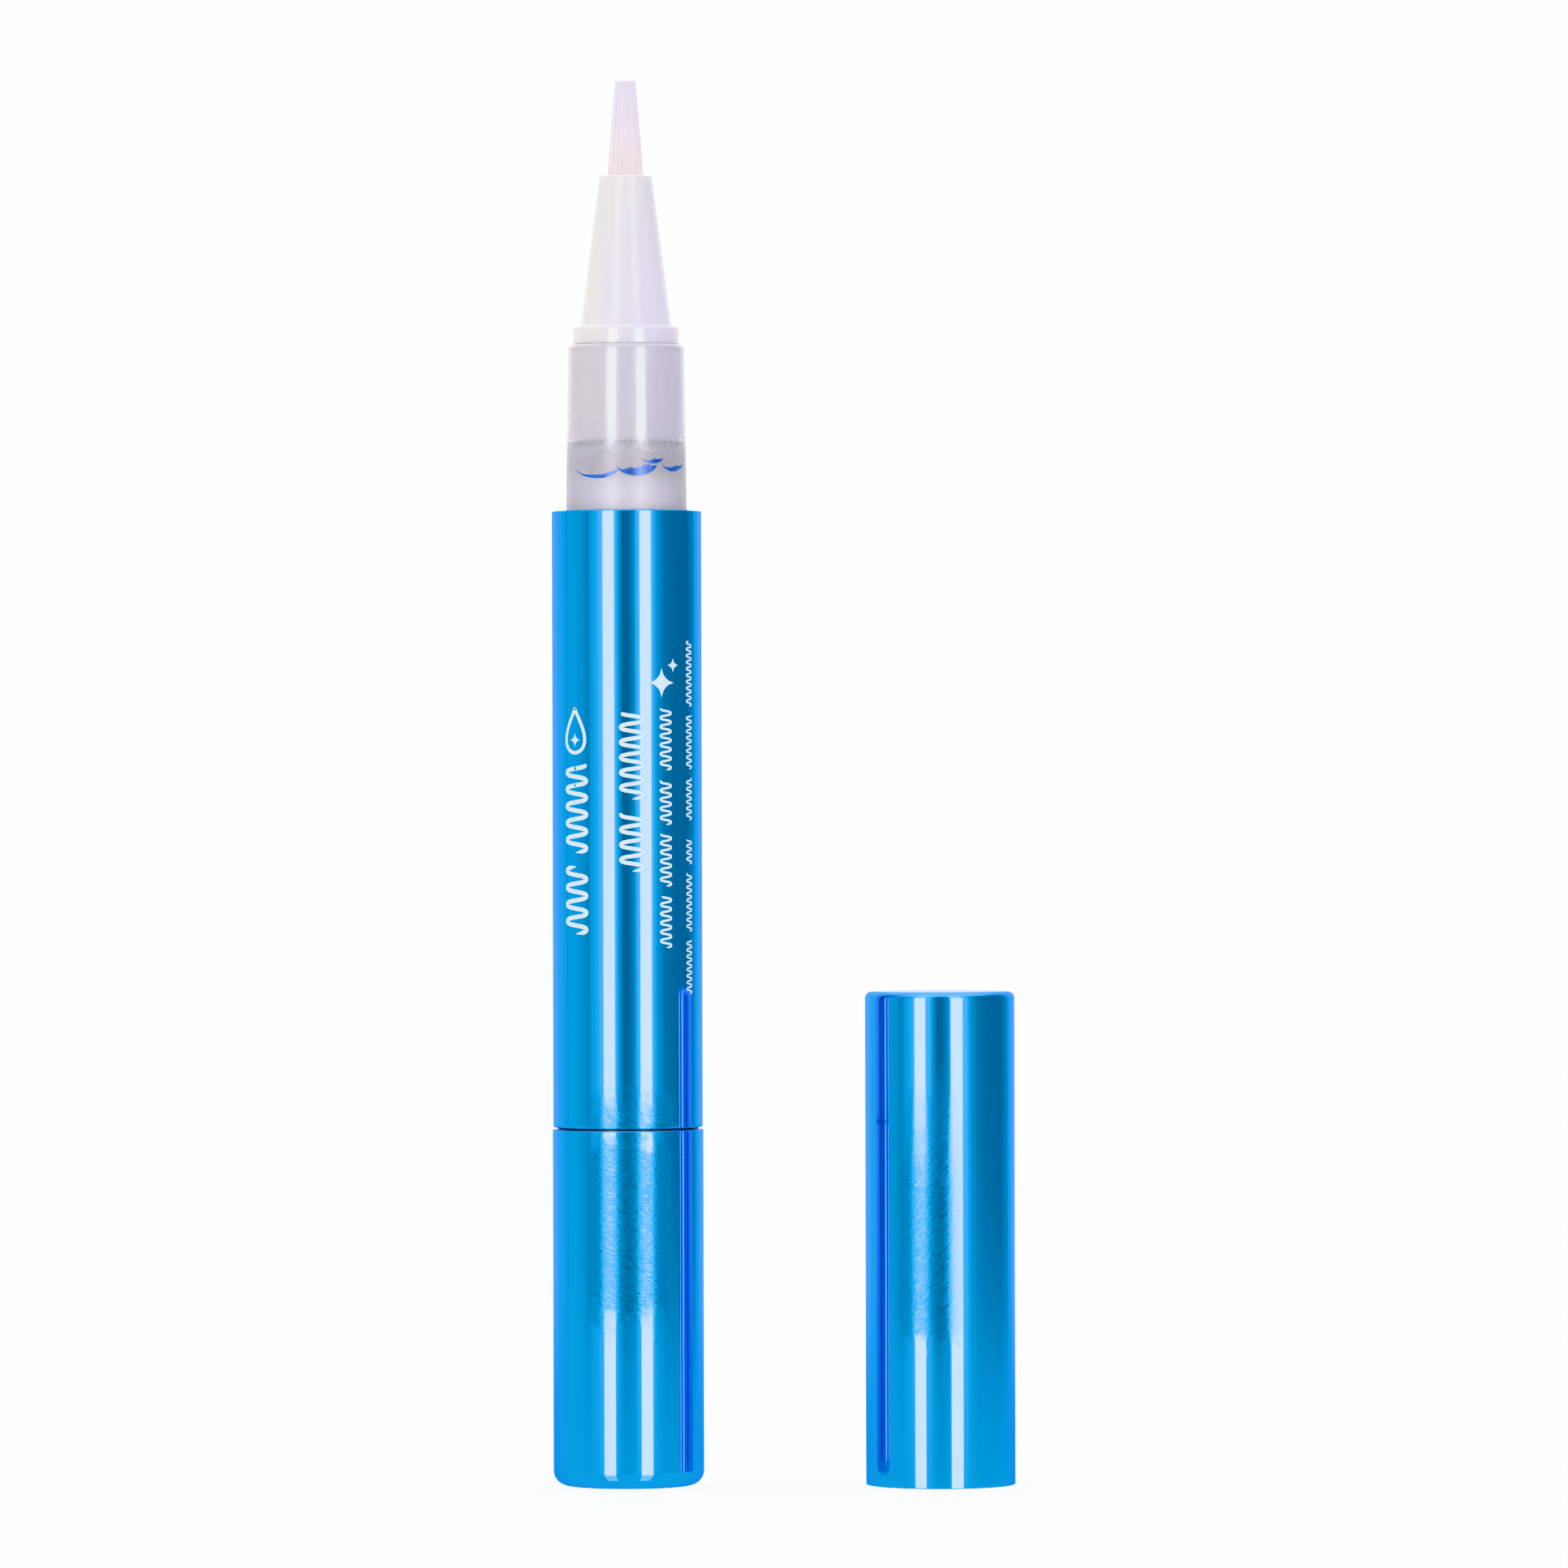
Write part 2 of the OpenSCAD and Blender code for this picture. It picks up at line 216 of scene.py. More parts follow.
def blueLacquer(name, axisX=0):
    zone = rubbedAndShadedZones[name]
    material, tree, shader = newMaterial(name, Metallic=1.0, Anisotropic=blueMetal["drawn"])
    shader.inputs["Anisotropic Rotation"].default_value = 0.25
    shader.inputs["Specular Tint"].default_value = blueMetal["edge"]
    place = objectPlace(tree)
    split = addNode(tree, "SeparateXYZ", {"Vector": place})
    tint = noiseAt(tree, objectPlace(tree, (1, 1, 0.15)), 0.35, 3)
    fresh = blendColours(tree, tint, blueMetal["deep"], blueMetal["bright"])

    # the rubbed zone, which also carries painted shade, fades in and out along the pen, with ragged ends
    ragged = blueMetal["ragged"]
    edge = spread(tree, noiseAt(tree, place, 0.7, 3, 0.6), 0.3, 0.7, -ragged, ragged)
    height = combine(tree, "ADD", split.outputs["Z"], edge)
    rise = spread(tree, height, *zone["rise"], 0, 1)
    fall = spread(tree, height, *zone["fall"], 1, 0)
    aside = combine(tree, "SUBTRACT", split.outputs["X"], axisX + zone["middle"])
    side = spread(tree, combine(tree, "ABSOLUTE", aside, 0), *zone["half"], 1, 0)
    wearAndPaintedShade = combine(tree, "MULTIPLY", combine(tree, "MULTIPLY", rise, fall), side)
    # only the side that faces the front at rest is rubbed and given painted shade, so the knob's zone turns
    # away with it
    facing = spread(tree, split.outputs["Y"], -blueMetal["turnsAway"], blueMetal["turnsAway"], 1, 0)
    wearAndPaintedShade = combine(tree, "MULTIPLY", wearAndPaintedShade, facing)
    # painted shade: the base colour is darkened in the rubbed zone to dim the reflections there
    paintedShadeScale = spread(tree, wearAndPaintedShade, 0, 1, 1, blueMetal["rubbedPaintedShade"])
    base = addNode(tree, "VectorMath", {0: fresh}, operation="SCALE")
    tree.links.new(paintedShadeScale, base.inputs["Scale"])
    tree.links.new(base.outputs["Vector"], shader.inputs["Base Color"])

    # drawn lines along the tube, and in the rubbed zone a fine speckle and slanting hair scratches
    lines = noiseAt(tree, objectPlace(tree, (1, 1, 0.004)), 3.2, 3, 0.6)
    grain = noiseAt(tree, place, blueMetal["speckle"], 2, 0.7)
    turned = addNode(tree, "Mapping", {"Vector": place}, vector_type="TEXTURE")
    turned.inputs["Rotation"].default_value = (0, math.radians(zone["lean"]), 0)
    turned.inputs["Scale"].default_value = blueMetal["hairSize"]
    hairs = spread(tree, noiseAt(tree, turned.outputs["Vector"], 1.0, 2, 0.6), 0.45, 0.62, 0, 1)
    speckleRough = spread(tree, grain, 0.35, 0.65, *blueMetal["speckleGloss"])
    hairRough = spread(tree, hairs, 0, 1, *blueMetal["hairGloss"])
    rough = combine(tree, "ADD", speckleRough, hairRough)
    rough = combine(tree, "MULTIPLY", wearAndPaintedShade, combine(tree, "ADD", rough, blueMetal["wornGloss"]))
    tree.links.new(combine(tree, "ADD", rough, blueMetal["gloss"]), shader.inputs["Roughness"])
    normal = bumpFrom(tree, lines, blueMetal["lineDepth"])
    pits = combine(tree, "MULTIPLY", grain, spread(tree, wearAndPaintedShade, 0, 1, blueMetal["freshPits"], 1))
    normal = bumpFrom(tree, pits, blueMetal["pitDepth"], normal)
    scratches = combine(tree, "MULTIPLY", hairs, wearAndPaintedShade)
    normal = bumpFrom(tree, scratches, blueMetal["scratchDepth"], normal)
    tree.links.new(normal, shader.inputs["Normal"])
    return material


# White nozzle plastic

nozzlePlastic = {
    "warm": (0.745, 0.715, 0.69),
    "lilac": (0.745, 0.70, 0.85),
    "gloss": 0.13,
    "scatter": (1.0, 0.85, 0.8),
    "scatterReach": 0.0012,
    "skinDepth": 0.0035 * millimetre,
}


def nozzleWhite():
    material, tree, shader = newMaterial("nozzleWhite")
    shader.inputs["IOR"].default_value = 1.5
    shader.inputs["Subsurface Weight"].default_value = 0.3
    shader.inputs["Subsurface Radius"].default_value = nozzlePlastic["scatter"]
    shader.inputs["Subsurface Scale"].default_value = nozzlePlastic["scatterReach"]
    place = objectPlace(tree)
    split = addNode(tree, "SeparateXYZ", {"Vector": place})
    cloudy = noiseAt(tree, objectPlace(tree, (1, 1, 0.3)), 0.22, 3)
    # painted light: across the nozzle the colour turns warm on the left and lilac on the right, the tints of
    # the lamps on either side, over a cloudy drift of tone
    across = spread(tree, split.outputs["X"], -4, 4, -0.35, 0.35)
    factor = spread(tree, combine(tree, "ADD", cloudy, across), 0.2, 0.8, 0, 1)
    colour = blendColours(tree, factor, nozzlePlastic["warm"], nozzlePlastic["lilac"])
    tree.links.new(colour, shader.inputs["Base Color"])
    skin = noiseAt(tree, place, 1.4, 4, 0.6)
    gloss = nozzlePlastic["gloss"]
    tree.links.new(spread(tree, skin, 0.3, 0.7, gloss - 0.03, gloss + 0.05), shader.inputs["Roughness"])
    tree.links.new(bumpFrom(tree, skin, nozzlePlastic["skinDepth"]), shader.inputs["Normal"])
    return material


# Clear barrel plastic, a little milky

barrelPlastic = {
    "tint": (0.955, 0.918, 1.0),
    "milk": 0.28,
    "gloss": 0.12,
    "dulledGloss": 0.4,         # of the wall below the plug
    "mirror": 0.22,
    "flowDepth": 0.02 * millimetre,
    "speckDepth": 0.0015 * millimetre,
}


def clearPlastic():
    material, tree, shader = newMaterial("clearBarrel")
    shader.inputs["Base Color"].default_value = (*barrelPlastic["tint"], 1)
    shader.inputs["IOR"].default_value = 1.47
    shader.inputs["Transmission Weight"].default_value = 1 - barrelPlastic["milk"]
    shader.inputs["Specular IOR Level"].default_value = barrelPlastic["mirror"]
    place = objectPlace(tree)
    split = addNode(tree, "SeparateXYZ", {"Vector": place})
    flow = noiseAt(tree, objectPlace(tree, (1, 1, 0.25)), 0.8, 3)
    specks = noiseAt(tree, place, 6.0, 3, 0.6)
    normal = bumpFrom(tree, flow, barrelPlastic["flowDepth"])
    normal = bumpFrom(tree, specks, barrelPlastic["speckDepth"], normal)
    tree.links.new(normal, shader.inputs["Normal"])
    plugZ = low("nozzle").z / millimetre
    dulled, clean = barrelPlastic["dulledGloss"], barrelPlastic["gloss"]
    gloss = spread(tree, split.outputs["Z"], plugZ - 1, plugZ + 0.5, dulled, clean)
    uneven = spread(tree, specks, 0.35, 0.7, -0.04, 0.08)
    tree.links.new(combine(tree, "ADD", gloss, uneven), shader.inputs["Roughness"])
    return material


def clearLiquid():
    material, tree, shader = newMaterial("cleaningLiquid")
    shader.inputs["Base Color"].default_value = (0.985, 0.975, 1.0, 1)
    shader.inputs["IOR"].default_value = 1.34
    shader.inputs["Transmission Weight"].default_value = 1.0
    place = objectPlace(tree)
    swirl = noiseAt(tree, place, 0.5, 2)
    tree.links.new(spread(tree, swirl, 0.3, 0.7, 0.0, 0.03), shader.inputs["Roughness"])
    tree.links.new(bumpFrom(tree, swirl, 0.01 * millimetre), shader.inputs["Normal"])
    return material


def thinFilm(name, light, dark, alpha, glow):
    # A mottled film that stands for what air and liquid show through the wall: painted shade, and the
    # painted reflection of the blue shell; glow is light of its own
    material, tree, shader = newMaterial(name, Roughness=0.3, Alpha=alpha)
    shader.inputs["Emission Color"].default_value = (*light, 1)
    shader.inputs["Emission Strength"].default_value = glow
    mottle = noiseAt(tree, objectPlace(tree), 1.3, 3, 0.65)
    factor = spread(tree, mottle, 0.35, 0.65, 0, 1)
    tree.links.new(blendColours(tree, factor, dark, light), shader.inputs["Base Color"])
    tree.links.new(bumpFrom(tree, mottle, 0.03 * millimetre), shader.inputs["Normal"])
    return material


nylonDetail = {
    "root": (0.99, 0.82, 0.78),
    "tip": (0.93, 0.85, 0.99),
    "glow": 0.08,            # painted light: the tuft glows a little, standing for light that passes through it
    "glowColour": (1.0, 0.92, 1.0, 1),
    "sheen": 0.9,
}


def bristleNylon():
    material, tree, shader = newMaterial("bristleNylon", Roughness=0.35)
    shader.inputs["Subsurface Weight"].default_value = 0.6
    shader.inputs["Subsurface Radius"].default_value = (1.0, 0.9, 0.9)
    shader.inputs["Subsurface Scale"].default_value = 0.0006
    shader.inputs["Emission Color"].default_value = nylonDetail["glowColour"]
    shader.inputs["Emission Strength"].default_value = nylonDetail["glow"]
    shader.inputs["Sheen Weight"].default_value = nylonDetail["sheen"]
    shader.inputs["Sheen Tint"].default_value = (1.0, 0.95, 1.0, 1)
    place = objectPlace(tree)
    split = addNode(tree, "SeparateXYZ", {"Vector": place})
    rootZ = high("nozzle").z / millimetre
    along = spread(tree, split.outputs["Z"], rootZ, rootZ + 5, 0, 1)
    colour = blendColours(tree, along, nylonDetail["root"], nylonDetail["tip"])
    tree.links.new(colour, shader.inputs["Base Color"])
    fine = noiseAt(tree, objectPlace(tree, (6, 6, 0.4)), 1.5, 2)
    tree.links.new(spread(tree, fine, 0.3, 0.7, 0.25, 0.45), shader.inputs["Roughness"])
    return material


def mouldedPlastic(name, colour, darker, gloss):
    # Moulded plastic: slow colour drift, fine skin texture
    material, tree, shader = newMaterial(name)
    place = objectPlace(tree)
    drift = noiseAt(tree, place, 0.25, 3)
    tree.links.new(blendColours(tree, drift, darker, colour), shader.inputs["Base Color"])
    skin = noiseAt(tree, place, 1.6, 4, 0.65)
    tree.links.new(spread(tree, skin, 0.3, 0.7, gloss - 0.06, gloss + 0.08), shader.inputs["Roughness"])
    tree.links.new(bumpFrom(tree, skin, 0.006 * millimetre), shader.inputs["Normal"])
    return material


def printInk():
    material, tree, shader = newMaterial("printInk")
    place = objectPlace(tree)
    mottle = noiseAt(tree, place, 2.5, 3)
    colour = blendColours(tree, mottle, (0.66, 0.82, 0.94), (0.80, 0.90, 0.97))
    tree.links.new(colour, shader.inputs["Base Color"])
    tree.links.new(spread(tree, mottle, 0.3, 0.7, 0.35, 0.5), shader.inputs["Roughness"])
    tree.links.new(bumpFrom(tree, mottle, 0.003 * millimetre), shader.inputs["Normal"])
    return material


# Mesh helpers


def meshPiece(name, bm, material, smoothAngle=35, faceOut=True):
    mesh = bpy.data.meshes.new(name)
    if faceOut:
        bmesh.ops.recalc_face_normals(bm, faces=bm.faces)
    bm.to_mesh(mesh)
    bm.free()
    mesh.shade_smooth()
    mesh.set_sharp_from_angle(angle=math.radians(smoothAngle))
    piece = bpy.data.objects.new(name, mesh)
    piece.data.materials.append(material)
    bpy.context.scene.collection.objects.link(piece)
    return piece


def softCorners(corners, steps=6):
    # corners: (radius, height, fillet) in order round a half section; each fillet becomes an arc
    outline = []
    count = len(corners)
    for i, (r, z, fillet) in enumerate(corners):
        here = Vector((r, z))
        if fillet <= 0:
            outline.append(here)
            continue
        before = (Vector(corners[i - 1][:2]) - here).normalized()
        after = (Vector(corners[(i + 1) % count][:2]) - here).normalized()
        half = before.angle(after) / 2
        reach = fillet / math.tan(half)
        centre = here + (before + after).normalized() * (fillet / math.sin(half))
        start = here + before * reach - centre
        end = here + after * reach - centre
        turn = start.angle_signed(end)
        for step in range(steps + 1):
            angle = -turn * step / steps
            outline.append(centre + Vector((
                start.x * math.cos(angle) - start.y * math.sin(angle),
                start.x * math.sin(angle) + start.y * math.cos(angle))))
    return outline


def withSupports(outline, reach=0.12 * millimetre):
    # Extra points near the ends of long stretches keep the shading of the rounded edges off them
    result = []
    for i, (r, z) in enumerate(outline):
        here = Vector((r, z))
        ahead = Vector(outline[(i + 1) % len(outline)])
        result.append(here)
        run = ahead - here
        if run.length > 8 * reach and max(here.x, ahead.x) > reach:
            result.append(here + run.normalized() * reach)
            result.append(ahead - run.normalized() * reach)
    return result


lathedSides = 128


def lathe(bm, outline, centreX):
    # Spins a half section round the vertical line at centreX; points on the axis become poles
    segments = lathedSides
    rings = []
    for r, z in withSupports(outline):
        if r < 1e-7:
            rings.append([bm.verts.new((centreX, 0, z))])
            continue
        ring = []
        for i in range(segments):
            angle = 2 * math.pi * i / segments
            ring.append(bm.verts.new((centreX + r * math.cos(angle), r * math.sin(angle), z)))
        rings.append(ring)
    for first, second in zip(rings, rings[1:] + rings[:1]):
        if len(first) == 1 and len(second) == 1:
            continue
        for i in range(segments):
            j = (i + 1) % segments
            corners = [
                first[i % len(first)], first[j % len(first)],
                second[j % len(second)], second[i % len(second)]]
            bm.faces.new(list(dict.fromkeys(corners)))


def lathePiece(name, outline, material, centreX=0.0):
    bm = bmesh.new()
    lathe(bm, outline, centreX)
    return meshPiece(name, bm, material)


def finishPiece(piece, body, slotName, *nodes):
    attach(piece, body)
    if nodes:
        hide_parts(*nodes)
    return piece


# The three blue shells

shellDetail = {
    "wall": 0.4 * millimetre,
    "rim": 0.12 * millimetre,       # edge radius at open rims
    "knobCorner": 1.3 * millimetre,
    "capCorner": 0.6 * millimetre,
}


def makeBarrelShell(material):
    r = outerRadius("barrel_shell")
    wall, rim = shellDetail["wall"], shellDetail["rim"]
    z0, z1 = low("barrel_shell").z, high("barrel_shell").z
    outline = softCorners([
        (r - wall, z0, rim / 2), (r, z0, rim), (r, z1, rim), (r - wall, z1, rim / 2)])
    return finishPiece(lathePiece("frontShell", outline, material), "barrel", "blue_metal", "barrel_shell")


def makeKnobShell(material):
    r = outerRadius("knob_shell")
    wall, rim, corner = shellDetail["wall"], shellDetail["rim"], shellDetail["knobCorner"]
    z0, z1 = low("knob_shell").z, high("knob_shell").z
    outline = softCorners([
        (0, z0, 0), (r, z0, corner), (r, z1, rim), (r - wall, z1, rim / 2),
        (r - wall, z0 + wall, corner - wall), (0, z0 + wall, 0)], 12)
    return finishPiece(lathePiece("knobShell", outline, material), "knob", "blue_metal", "knob_shell")


def makeCapShell(material):
    r = outerRadius("cap_shell")
    wall, rim, corner = shellDetail["wall"], shellDetail["rim"], shellDetail["capCorner"]
    z0, z1 = low("cap_shell").z, high("cap_shell").z
    centreX = (low("cap_shell").x + high("cap_shell").x) / 2
    outline = softCorners([
        (0, z1, 0), (r, z1, corner), (r, z0, rim), (r - wall, z0, rim / 2),
        (r - wall, z1 - wall, corner - wall), (0, z1 - wall, 0)], 10)
    piece = lathePiece("capShell", outline, material, centreX)
    return finishPiece(piece, "cap", "blue_metal", "cap_shell")


# Nozzle

nozzleDetail = {
    "collarHeight": 1.6 * millimetre,
    "coneBase": 3.97 * millimetre,
    "tip": 2.305 * millimetre,
    "collarEdge": 0.28 * millimetre,
    "tipEdge": 0.22 * millimetre,
    "plugEdge": 0.3 * millimetre,
    "wet": 0.02 * millimetre,         # the plug wets the bore, so it looks as wide as the neck
    "brushRoom": 0.03 * millimetre,
    "passageStep": 0.3 * millimetre,
}


def makeNozzle(material):
    z0, z1 = low("nozzle").z, high("nozzle").z
    collar = outerRadius("nozzle")
    plugR = outerRadius("screw_nut") + nozzleDetail["wet"]
    ferrule = outerRadius("brush_ferrule")
    brush = outerRadius("brush_bristles") + nozzleDetail["brushRoom"]
    seat = high("barrel").z
    coneZ = seat + nozzleDetail["collarHeight"]
    f0, f1 = low("brush_ferrule").z, high("brush_ferrule").z
    passage = ferrule - nozzleDetail["passageStep"]
    corners = [
        (passage, z0, 0), (plugR, z0, nozzleDetail["plugEdge"]), (plugR, seat, 0),
        (collar, seat, nozzleDetail["tipEdge"] / 2), (collar, coneZ, nozzleDetail["collarEdge"]),
        (nozzleDetail["coneBase"], coneZ, nozzleDetail["tipEdge"] / 2),
        (nozzleDetail["tip"], z1, nozzleDetail["tipEdge"]),
        (brush, z1, nozzleDetail["tipEdge"] / 3), (brush, f1, 0),
        (ferrule, f1, 0), (ferrule, f0, 0), (passage, f0, 0)]
    piece = lathePiece("nozzle", softCorners(corners, 5), material)
    return finishPiece(piece, "barrel", "white_nozzle", "nozzle")


# Barrel and liquid

barrelDetail = {
    "neckTop": 5.06 * millimetre,
    "wallRadius": 5.27 * millimetre,
    "ringWidth": 1.3 * millimetre,
    "edge": 0.4 * millimetre,
    "bead": 0.28 * millimetre,
}


def makeBarrel(material):
    z0, z1 = low("barrel").z, high("barrel").z
    shellZ0, shellZ1 = low("barrel_shell").z, high("barrel_shell").z
    ringR, bore = outerRadius("barrel"), outerRadius("screw_nut")
    r, ringW, edge = barrelDetail["wallRadius"], barrelDetail["ringWidth"], barrelDetail["edge"]
    beadZ = z0 + 2 * millimetre
    corners = [(bore, z0, 0), (r, z0, 0.15 * millimetre),
               (r, beadZ - barrelDetail["bead"], 0), (r + barrelDetail["bead"], beadZ, 0.12 * millimetre),
               (r, beadZ + barrelDetail["bead"], 0)]
    middle = (shellZ0 + shellZ1) / 2
    for start in (shellZ0, middle - ringW / 2, shellZ1 - ringW):
        corners += [(r, start, 0), (ringR, start, 0.08 * millimetre),
                    (ringR, start + ringW, 0.08 * millimetre), (r, start + ringW, 0.1 * millimetre)]
    corners += [(barrelDetail["neckTop"], z1, edge), (bore, z1, 0.1 * millimetre)]
    piece = lathePiece("barrel", softCorners(corners, 8), material)
    return finishPiece(piece, "barrel", "clear_barrel", "barrel")


liquidDetail = {
    "overlap": 0.02 * millimetre,       # the liquid wets the barrel's wall
    "wallGap": 0.35 * millimetre,       # from the bore to the bubbles
    "magnify": 1.4,                     # how much wider the round wall makes them look
    "airBand": 0.75,                    # height of the air under the plug, in mm
    "film": 0.03 * millimetre,
    "rim": 0.06,                        # width of a bubble's rim, in mm
    "farSide": math.pi * 0.93,          # where the second set of bubbles lies, round from the first
    # each bubble, in mm: place across, depth below the plug, half width, half height,
    # and the thickness of the painted blue reflection under it
    "bubbles": [
        (-2.4, 2.05, 2.0, 1.22, 0.36),
        (0.95, 1.95, 1.8, 1.12, 0.80),
        (4.05, 1.85, 0.9, 0.8, 0.42),
        (2.3, 1.5, 0.95, 0.5, 0.36),
    ],
}


def wallPoint(across, z, r, magnify, turned=0.0):
    angle = math.asin(max(-1.0, min(1.0, across * millimetre / magnify / r))) + turned
    return Vector((r * math.sin(angle), -r * math.cos(angle), z))


def neckRadius(z):
    bottom, top = high("barrel_shell").z, high("barrel").z
    wide, narrow = barrelDetail["wallRadius"], barrelDetail["neckTop"]
    return wide + (narrow - wide) * (z - bottom) / (top - bottom)


def wallStrip(bm, upper, lower, r, magnify, turned=0.0):
    # A thin curved strip between two lines of (across, z)
    stations = []
    for (a, za), (b, zb) in zip(upper, lower):
        stations.append([bm.verts.new(wallPoint(x, z, radius, magnify, turned)) for x, z, radius in (
            (a, za, r), (b, zb, r), (b, zb, r - liquidDetail["film"]), (a, za, r - liquidDetail["film"]))])
    for first, second in zip(stations, stations[1:]):
        for k in range(4):
            m = (k + 1) % 4
            bm.faces.new((first[k], first[m], second[m], second[k]))
    bm.faces.new(list(reversed(stations[0])))
    bm.faces.new(stations[-1])


def bubbleRim(across, z, wide, tall, start, end, steps=28):
    # Points along a bubble's outline, from one angle to another in degrees
    points = []
    for i in range(steps + 1):
        angle = math.radians(start + (end - start) * i / steps)
        points.append((across + wide * math.cos(angle), z + tall * math.sin(angle)))
    return points


def makeLiquid(material):
    bore = outerRadius("screw_nut") + liquidDetail["overlap"]
    plugZ = low("nozzle").z
    base = low("cleaning_liquid").z
    column = lathePiece("liquidColumn", [(0, base), (bore, base), (bore, plugZ), (0, plugZ)], material)
    finishPiece(column, "barrel", "liquid", "cleaning_liquid")
    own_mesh(column)


def makeBubbles(airMaterial, rimMaterial, paintedReflectionMaterial):
    # Air bubbles that lie against the wall under the plug: their bodies in the liquid as films of painted
    # shade, and their thin rims of painted shade and the painted reflection of the blue shell under them on
    # the neck's outer wall
    r = outerRadius("screw_nut") - liquidDetail["wallGap"]
    plugZ = low("nozzle").z
    magnify = liquidDetail["magnify"]
    face = neckRadius(plugZ - 2 * millimetre) + liquidDetail["film"] / 2
    air, rims, paintedReflections = bmesh.new(), bmesh.new(), bmesh.new()
    count = 90
    upper, lower = [], []
    for i in range(count + 1):
        turn = 2 * math.pi * i / count
        dip = 0.12 * math.sin(3 * turn + 0.8) + 0.07 * math.sin(7 * turn)
        upper.append((turn, plugZ - 0.02 * millimetre))
        lower.append((turn, plugZ - (liquidDetail["airBand"] + dip) * millimetre))
    ring = []
    for (turn, za), (_, zb) in zip(upper[:-1], lower[:-1]):
        ring.append([air.verts.new((radius * math.sin(turn), -radius * math.cos(turn), z)) for z, radius in (
            (za, r), (zb, r), (zb, r - liquidDetail["film"]), (za, r - liquidDetail["film"]))])
    for i in range(count):
        first, second = ring[i], ring[(i + 1) % count]
        for k in range(4):
            m = (k + 1) % 4
            air.faces.new((first[k], first[m], second[m], second[k]))
    for turned in (0.0, liquidDetail["farSide"]):
        for n, (across, down, wide, tall, thick) in enumerate(liquidDetail["bubbles"]):
            z = plugZ - down * millimetre
            top = bubbleRim(across, z, wide, tall * millimetre, 176, 4)
            bottom = bubbleRim(across, z, wide, tall * millimetre, -176, -4)
            wallStrip(air, top, bottom, r - 2 * (n + 1) * liquidDetail["film"], magnify, turned)
            outer = bubbleRim(across, z, wide, tall * millimetre, -178, 178, 60)
            slim = liquidDetail["rim"]
            inner = bubbleRim(across, z, wide - slim, (tall - slim) * millimetre, -178, 178, 60)
            drawn = 46      # the rim's last stretch is left open
            wallStrip(rims, outer[:drawn], inner[:drawn], face, 1, turned)
            # painted reflection: a blue crescent under each bubble stands for the blue shell seen in it
            edge = bubbleRim(across, z, wide, tall * millimetre, -160, -15)
            inside = []
            for i, (x, zz) in enumerate(edge):
                share = math.sin(math.pi * (0.02 + 0.96 * (i / (len(edge) - 1)) ** 1.35))
                ripple = 1 + 0.1 * math.sin(i * 0.7 + n) + 0.06 * math.sin(i * 1.9)
                inside.append((x, zz + thick * share * ripple * millimetre))
            wallStrip(paintedReflections, inside, edge, face + (n + 1) * liquidDetail["film"] / 10, 1, turned)
    finishPiece(meshPiece("airUnderPlug", air, airMaterial, 50), "barrel", "liquid")
    finishPiece(meshPiece("bubbleRims", rims, rimMaterial, 50), "barrel", "liquid")
    finishPiece(meshPiece("paintedBubbleReflections", paintedReflections, paintedReflectionMaterial, 50), "barrel", "liquid")


# Brush

brushDetail = {
    "filaments": 420,
    "thickness": 0.13 * millimetre,
    "rootDrop": 0.6 * millimetre,
    "tipRadius": 0.95 * millimetre,
    "sides": 6,
    "steps": 9,
    "seed": 4,
}


def filament(bm, path, radii, sides):
    rings = []
    for point, r in zip(path, radii):
        ring = []
        for i in range(sides):
            angle = 2 * math.pi * i / sides
            ring.append(bm.verts.new(point + Vector((r * math.cos(angle), r * math.sin(angle), 0))))
        rings.append(ring)
    for first, second in zip(rings, rings[1:]):
        for i in range(sides):
            j = (i + 1) % sides
            bm.faces.new((first[i], first[j], second[j], second[i]))
    bm.faces.new(list(reversed(rings[0])))
    bm.faces.new(rings[-1])


def makeBrush(material):
    dice = random.Random(brushDetail["seed"])
    rootR = outerRadius("brush_bristles") - brushDetail["thickness"] / 2
    tipR = brushDetail["tipRadius"] - brushDetail["thickness"] / 2
    mouthZ = high("nozzle").z
    rootZ = mouthZ - brushDetail["rootDrop"]
    tipZ = high("brush_bristles").z
    bm = bmesh.new()
    golden = math.pi * (3 - math.sqrt(5))
    count, steps = brushDetail["filaments"], brushDetail["steps"]
    for n in range(count):
        share = math.sqrt((n + 0.5) / count)
        angle = n * golden
        drift = dice.uniform(-0.06, 0.06)
        sway = dice.uniform(-0.04, 0.04) * millimetre
        shortfall = abs(dice.gauss(0, 0.09)) * millimetre
        topZ = tipZ - shortfall
        path, radii = [], []
        for step in range(steps + 1):
            t = step / steps
            z = rootZ + (topZ - rootZ) * t
            lift = max(0.0, (z - mouthZ) / (tipZ - mouthZ))
            reach = share * (rootR + (tipR - rootR) * lift)
            turn = angle + drift * t
            bend = sway * math.sin(math.pi * t)
            path.append(Vector(((reach + bend) * math.cos(turn), (reach + bend) * math.sin(turn), z)))
            radii.append(brushDetail["thickness"] / 2 * (1 - 0.35 * t ** 3))
        filament(bm, path, radii, brushDetail["sides"])
    piece = meshPiece("brushTuft", bm, material, 60, False)
    return finishPiece(piece, "barrel", "bristle", "brush_bristles")


# Printed marks on the front shell: scribbles in place of words, a droplet and sparkles

printDetail = {"proud": 0.012 * millimetre}
shellRadius = outerRadius("barrel_shell")


def onShell(across, z, lift):
    # across in millimetres of arc to the right of the front line, z in millimetres
    r = shellRadius + lift
    angle = across * millimetre / shellRadius
    return Vector((r * math.sin(angle), -r * math.cos(angle), z * millimetre))


